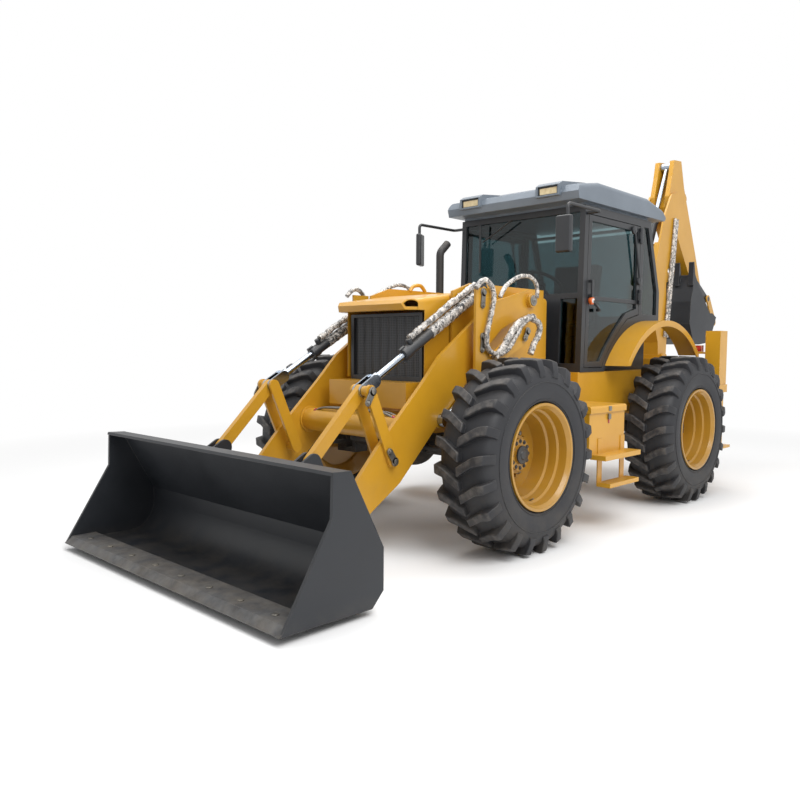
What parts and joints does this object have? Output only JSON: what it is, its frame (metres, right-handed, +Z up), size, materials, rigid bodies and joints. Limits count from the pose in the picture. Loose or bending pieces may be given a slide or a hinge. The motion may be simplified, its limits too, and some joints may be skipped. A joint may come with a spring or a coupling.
{
  "type": "backhoe loader",
  "caption": "Four-wheel loader with a front bucket on lift arms, an enclosed cab, side steps and a side-shift digging arm with stabiliser legs at the rear.",
  "frame": {"origin": "bottom centre of the bounding box, on the ground", "axes": "+X forward towards the loader bucket, +Y to the machine's left, +Z up"},
  "size_m": [6.6948, 2.212, 3.1769],
  "materials": {
    "yellow": "satin",
    "black_paint": "satin",
    "bucket_steel": "worn",
    "tyre": "dusty",
    "rim": "satin",
    "rod_chrome": "polished",
    "pane": "tinted",
    "roof_plastic": "moulded",
    "lamp_lens": "clear",
    "seat_vinyl": "satin",
    "cast": "rough"
  },
  "bodies": {
    "frame": {"chassis_frame": "yellow", "loader_towers": "yellow", "front_axle": "cast", "rear_axle": "cast", "engine_block": "cast", "grille": "black_paint", "cab_frame": "black_paint", "cab_glass": "pane", "cab_roof": "roof_plastic", "lamps": "lamp_lens", "operator_seat": "seat_vinyl", "controls": "black_paint", "mudguards": "yellow", "side_boxes": "yellow", "exhaust": "black_paint", "mirrors": "black_paint", "rear_frame": "yellow"},
    "bonnet": {"bonnet": "yellow"},
    "door_left": {"door_left": "black_paint", "door_left_glass": "pane"},
    "door_right": {"door_right": "black_paint", "door_right_glass": "pane"},
    "toolbox_lid": {"toolbox_lid": "yellow"},
    "knuckle_left": {"knuckle_left": "cast"},
    "knuckle_right": {"knuckle_right": "cast"},
    "wheel_front_left": {"tyre_front_left": "tyre", "rim_front_left": "rim"},
    "wheel_front_right": {"tyre_front_right": "tyre", "rim_front_right": "rim"},
    "wheel_rear_left": {"tyre_rear_left": "tyre", "rim_rear_left": "rim"},
    "wheel_rear_right": {"tyre_rear_right": "tyre", "rim_rear_right": "rim"},
    "loader_arms": {"loader_arms": "yellow"},
    "loader_bucket": {"loader_bucket": "bucket_steel"},
    "bell_cranks": {"bell_cranks": "yellow"},
    "tipping_links": {"tipping_links": "yellow"},
    "dump_barrels": {"dump_barrels": "black_paint"},
    "dump_rods": {"dump_rods": "rod_chrome"},
    "lift_barrels": {"lift_barrels": "black_paint"},
    "lift_rods": {"lift_rods": "rod_chrome"},
    "slide_carriage": {"slide_carriage": "yellow", "swing_barrels": "black_paint"},
    "swing_rod_left": {"swing_rod_left": "rod_chrome"},
    "swing_rod_right": {"swing_rod_right": "rod_chrome"},
    "kingpost": {"kingpost": "yellow"},
    "boom": {"boom": "yellow"},
    "dipper": {"dipper": "yellow"},
    "backhoe_bucket": {"backhoe_bucket": "bucket_steel"},
    "bucket_lever": {"bucket_lever": "black_paint"},
    "bucket_link": {"bucket_link": "black_paint"},
    "boom_barrel": {"boom_barrel": "black_paint"},
    "boom_rod": {"boom_rod": "rod_chrome"},
    "dipper_barrel": {"dipper_barrel": "black_paint"},
    "dipper_rod": {"dipper_rod": "rod_chrome"},
    "bucket_barrel": {"bucket_barrel": "black_paint"},
    "bucket_rod": {"bucket_rod": "rod_chrome"},
    "stabiliser_leg_left": {"stabiliser_leg_left": "yellow"},
    "stabiliser_leg_right": {"stabiliser_leg_right": "yellow"}
  },
  "joints": [
    {"name": "bonnet_hinge", "type": "hinge", "parent": "frame", "child": "bonnet", "pos_m": [0.38438, 0, 1.59991], "axis": [0, -1, 0], "range_deg": [0, 50]},
    {"name": "door_left_hinge", "type": "hinge", "parent": "frame", "child": "door_left", "pos_m": [-0.76762, 0.614, 1.89991], "axis": [0, 0, 1], "range_deg": [0, 85]},
    {"name": "door_right_hinge", "type": "hinge", "parent": "frame", "child": "door_right", "pos_m": [-0.76762, -0.614, 1.89991], "axis": [0, 0, -1], "range_deg": [0, 85]},
    {"name": "toolbox_lid_hinge", "type": "hinge", "parent": "frame", "child": "toolbox_lid", "pos_m": [0.37588, 0.618, 0.86791], "axis": [1, 0, 0], "range_deg": [0, 75]},
    {"name": "steer_left", "type": "hinge", "parent": "frame", "child": "knuckle_left", "pos_m": [1.34438, 0.7, 0.60491], "axis": [0, 0, 1], "range_deg": [-20, 20]},
    {"name": "steer_right", "type": "hinge", "parent": "frame", "child": "knuckle_right", "pos_m": [1.34438, -0.7, 0.60491], "axis": [0, 0, 1], "range_deg": [-20, 20]},
    {"name": "roll_front_left", "type": "hinge", "parent": "knuckle_left", "child": "wheel_front_left", "pos_m": [1.34438, 0.89, 0.60491], "axis": [0, 1, 0], "continuous": true},
    {"name": "roll_front_right", "type": "hinge", "parent": "knuckle_right", "child": "wheel_front_right", "pos_m": [1.34438, -0.89, 0.60491], "axis": [0, 1, 0], "continuous": true},
    {"name": "roll_rear_left", "type": "hinge", "parent": "frame", "child": "wheel_rear_left", "pos_m": [-0.94162, 0.89, 0.60491], "axis": [0, 1, 0], "continuous": true},
    {"name": "roll_rear_right", "type": "hinge", "parent": "frame", "child": "wheel_rear_right", "pos_m": [-0.94162, -0.89, 0.60491], "axis": [0, 1, 0], "continuous": true},
    {"name": "loader_lift", "type": "hinge", "parent": "frame", "child": "loader_arms", "pos_m": [0.67938, 0, 1.60491], "axis": [0, -1, 0], "range_deg": [0, 80]},
    {"name": "loader_tilt", "type": "hinge", "parent": "loader_arms", "child": "loader_bucket", "pos_m": [2.45438, 0, 0.22191], "axis": [0, 1, 0], "range_deg": [-35, 65]},
    {"name": "bell_crank_pivot", "type": "hinge", "parent": "loader_arms", "child": "bell_cranks", "pos_m": [2.07938, 0, 0.59691], "axis": [0, 1, 0], "range_deg": [-35, 65]},
    {"name": "tipping_link_pivot", "type": "hinge", "parent": "bell_cranks", "child": "tipping_links", "pos_m": [2.26438, 0, 1.01791], "axis": [0, 1, 0], "range_deg": [-65, 35]},
    {"name": "dump_barrel_pivot", "type": "hinge", "parent": "frame", "child": "dump_barrels", "pos_m": [1.15438, 0, 1.65491], "axis": [0, -1, 0], "range_deg": [0, 98.73]},
    {"name": "dump_rod_slide", "type": "slide", "parent": "dump_barrels", "child": "dump_rods", "axis": [0.8673, 0, -0.4977], "range_m": [-0.24637, 0.45712]},
    {"name": "lift_barrel_pivot", "type": "hinge", "parent": "frame", "child": "lift_barrels", "pos_m": [0.84438, 0, 1.38491], "axis": [0, -1, 0], "range_deg": [0, 88.57]},
    {"name": "lift_rod_slide", "type": "slide", "parent": "lift_barrels", "child": "lift_rods", "axis": [0.8095, 0, -0.5871], "range_m": [0, 0.31193]},
    {"name": "hoe_slide", "type": "slide", "parent": "frame", "child": "slide_carriage", "axis": [0, 1, 0], "range_m": [-0.65, 0.45]},
    {"name": "hoe_swing", "type": "hinge", "parent": "slide_carriage", "child": "kingpost", "pos_m": [-2.00062, 0.1, 0.84991], "axis": [0, 0, 1], "range_deg": [-90, 90]},
    {"name": "swing_rod_left_slide", "type": "slide", "parent": "slide_carriage", "child": "swing_rod_left", "axis": [0, 1, 0], "range_m": [-0.1005, 0.1005]},
    {"name": "swing_rod_right_slide", "type": "slide", "parent": "slide_carriage", "child": "swing_rod_right", "axis": [0, 1, 0], "range_m": [-0.1005, 0.1005]},
    {"name": "boom_pivot", "type": "hinge", "parent": "kingpost", "child": "boom", "pos_m": [-2.05662, 0.1, 1.14691], "axis": [0, -1, 0], "range_deg": [0, 100]},
    {"name": "dipper_pivot", "type": "hinge", "parent": "boom", "child": "dipper", "pos_m": [-2.28162, 0.1, 2.75491], "axis": [0, 1, 0], "range_deg": [0, 100]},
    {"name": "bucket_pivot", "type": "hinge", "parent": "dipper", "child": "backhoe_bucket", "pos_m": [-3.03962, 0.1, 1.70991], "axis": [0, 1, 0], "range_deg": [0, 110]},
    {"name": "bucket_lever_pivot", "type": "hinge", "parent": "dipper", "child": "bucket_lever", "pos_m": [-2.85936, 0.1, 1.95842], "axis": [0, 1, 0], "range_deg": [0, 110]},
    {"name": "bucket_link_pivot", "type": "hinge", "parent": "bucket_lever", "child": "bucket_link", "pos_m": [-3.11912, 0.1, 1.81443], "axis": [0, 1, 0], "range_deg": [-110, 0]},
    {"name": "boom_barrel_pivot", "type": "hinge", "parent": "kingpost", "child": "boom_barrel", "pos_m": [-2.20062, 0.1, 0.83991], "axis": [0, -1, 0], "range_deg": [0, 85.01]},
    {"name": "boom_rod_slide", "type": "slide", "parent": "boom_barrel", "child": "boom_rod", "axis": [-0.0346, 0, 0.9994], "range_m": [-0.4967, 0]},
    {"name": "dipper_barrel_pivot", "type": "hinge", "parent": "boom", "child": "dipper_barrel", "pos_m": [-1.68762, 0.1, 1.70991], "axis": [0, 1, 0], "range_deg": [0, 10.91]},
    {"name": "dipper_rod_slide", "type": "slide", "parent": "dipper_barrel", "child": "dipper_rod", "axis": [-0.4069, 0, 0.9135], "range_m": [-0.49592, 0]},
    {"name": "bucket_barrel_pivot", "type": "hinge", "parent": "dipper", "child": "bucket_barrel", "pos_m": [-2.61362, 0.1, 2.83391], "axis": [0, 1, 0], "range_deg": [0, 0.29]},
    {"name": "bucket_rod_slide", "type": "slide", "parent": "bucket_barrel", "child": "bucket_rod", "axis": [-0.4442, 0, -0.8959], "range_m": [-0.48706, 0]},
    {"name": "stabiliser_left", "type": "slide", "parent": "frame", "child": "stabiliser_leg_left", "axis": [0, 0, -1], "range_m": [0, 0.45]},
    {"name": "stabiliser_right", "type": "slide", "parent": "frame", "child": "stabiliser_leg_right", "axis": [0, 0, -1], "range_m": [0, 0.45]}
  ],
  "couplings": [
    {"joint": "steer_right", "follows": "steer_left", "ratio": 1},
    {"joint": "bell_crank_pivot", "follows": "loader_tilt", "ratio": 1},
    {"joint": "tipping_link_pivot", "follows": "loader_tilt", "ratio": -1},
    {"joint": "dump_barrel_pivot", "follows": "loader_lift", "ratio": 1.234},
    {"joint": "dump_rod_slide", "follows": "loader_tilt", "m_per_rad": 0.4025},
    {"joint": "lift_barrel_pivot", "follows": "loader_lift", "ratio": 1.107},
    {"joint": "lift_rod_slide", "follows": "loader_lift", "m_per_rad": 0.22305},
    {"joint": "swing_rod_left_slide", "follows": "hoe_swing", "m_per_rad": 0.063662},
    {"joint": "swing_rod_right_slide", "follows": "hoe_swing", "m_per_rad": 0.063662},
    {"joint": "bucket_lever_pivot", "follows": "bucket_pivot", "ratio": 1},
    {"joint": "bucket_link_pivot", "follows": "bucket_pivot", "ratio": -1},
    {"joint": "boom_barrel_pivot", "follows": "boom_pivot", "ratio": 0.85},
    {"joint": "boom_rod_slide", "follows": "boom_pivot", "m_per_rad": -0.2843},
    {"joint": "dipper_barrel_pivot", "follows": "dipper_pivot", "ratio": 0.10899},
    {"joint": "dipper_rod_slide", "follows": "dipper_pivot", "m_per_rad": -0.28386},
    {"joint": "bucket_barrel_pivot", "follows": "bucket_pivot", "ratio": 0.002542},
    {"joint": "bucket_rod_slide", "follows": "bucket_pivot", "m_per_rad": -0.25343}
  ]
}
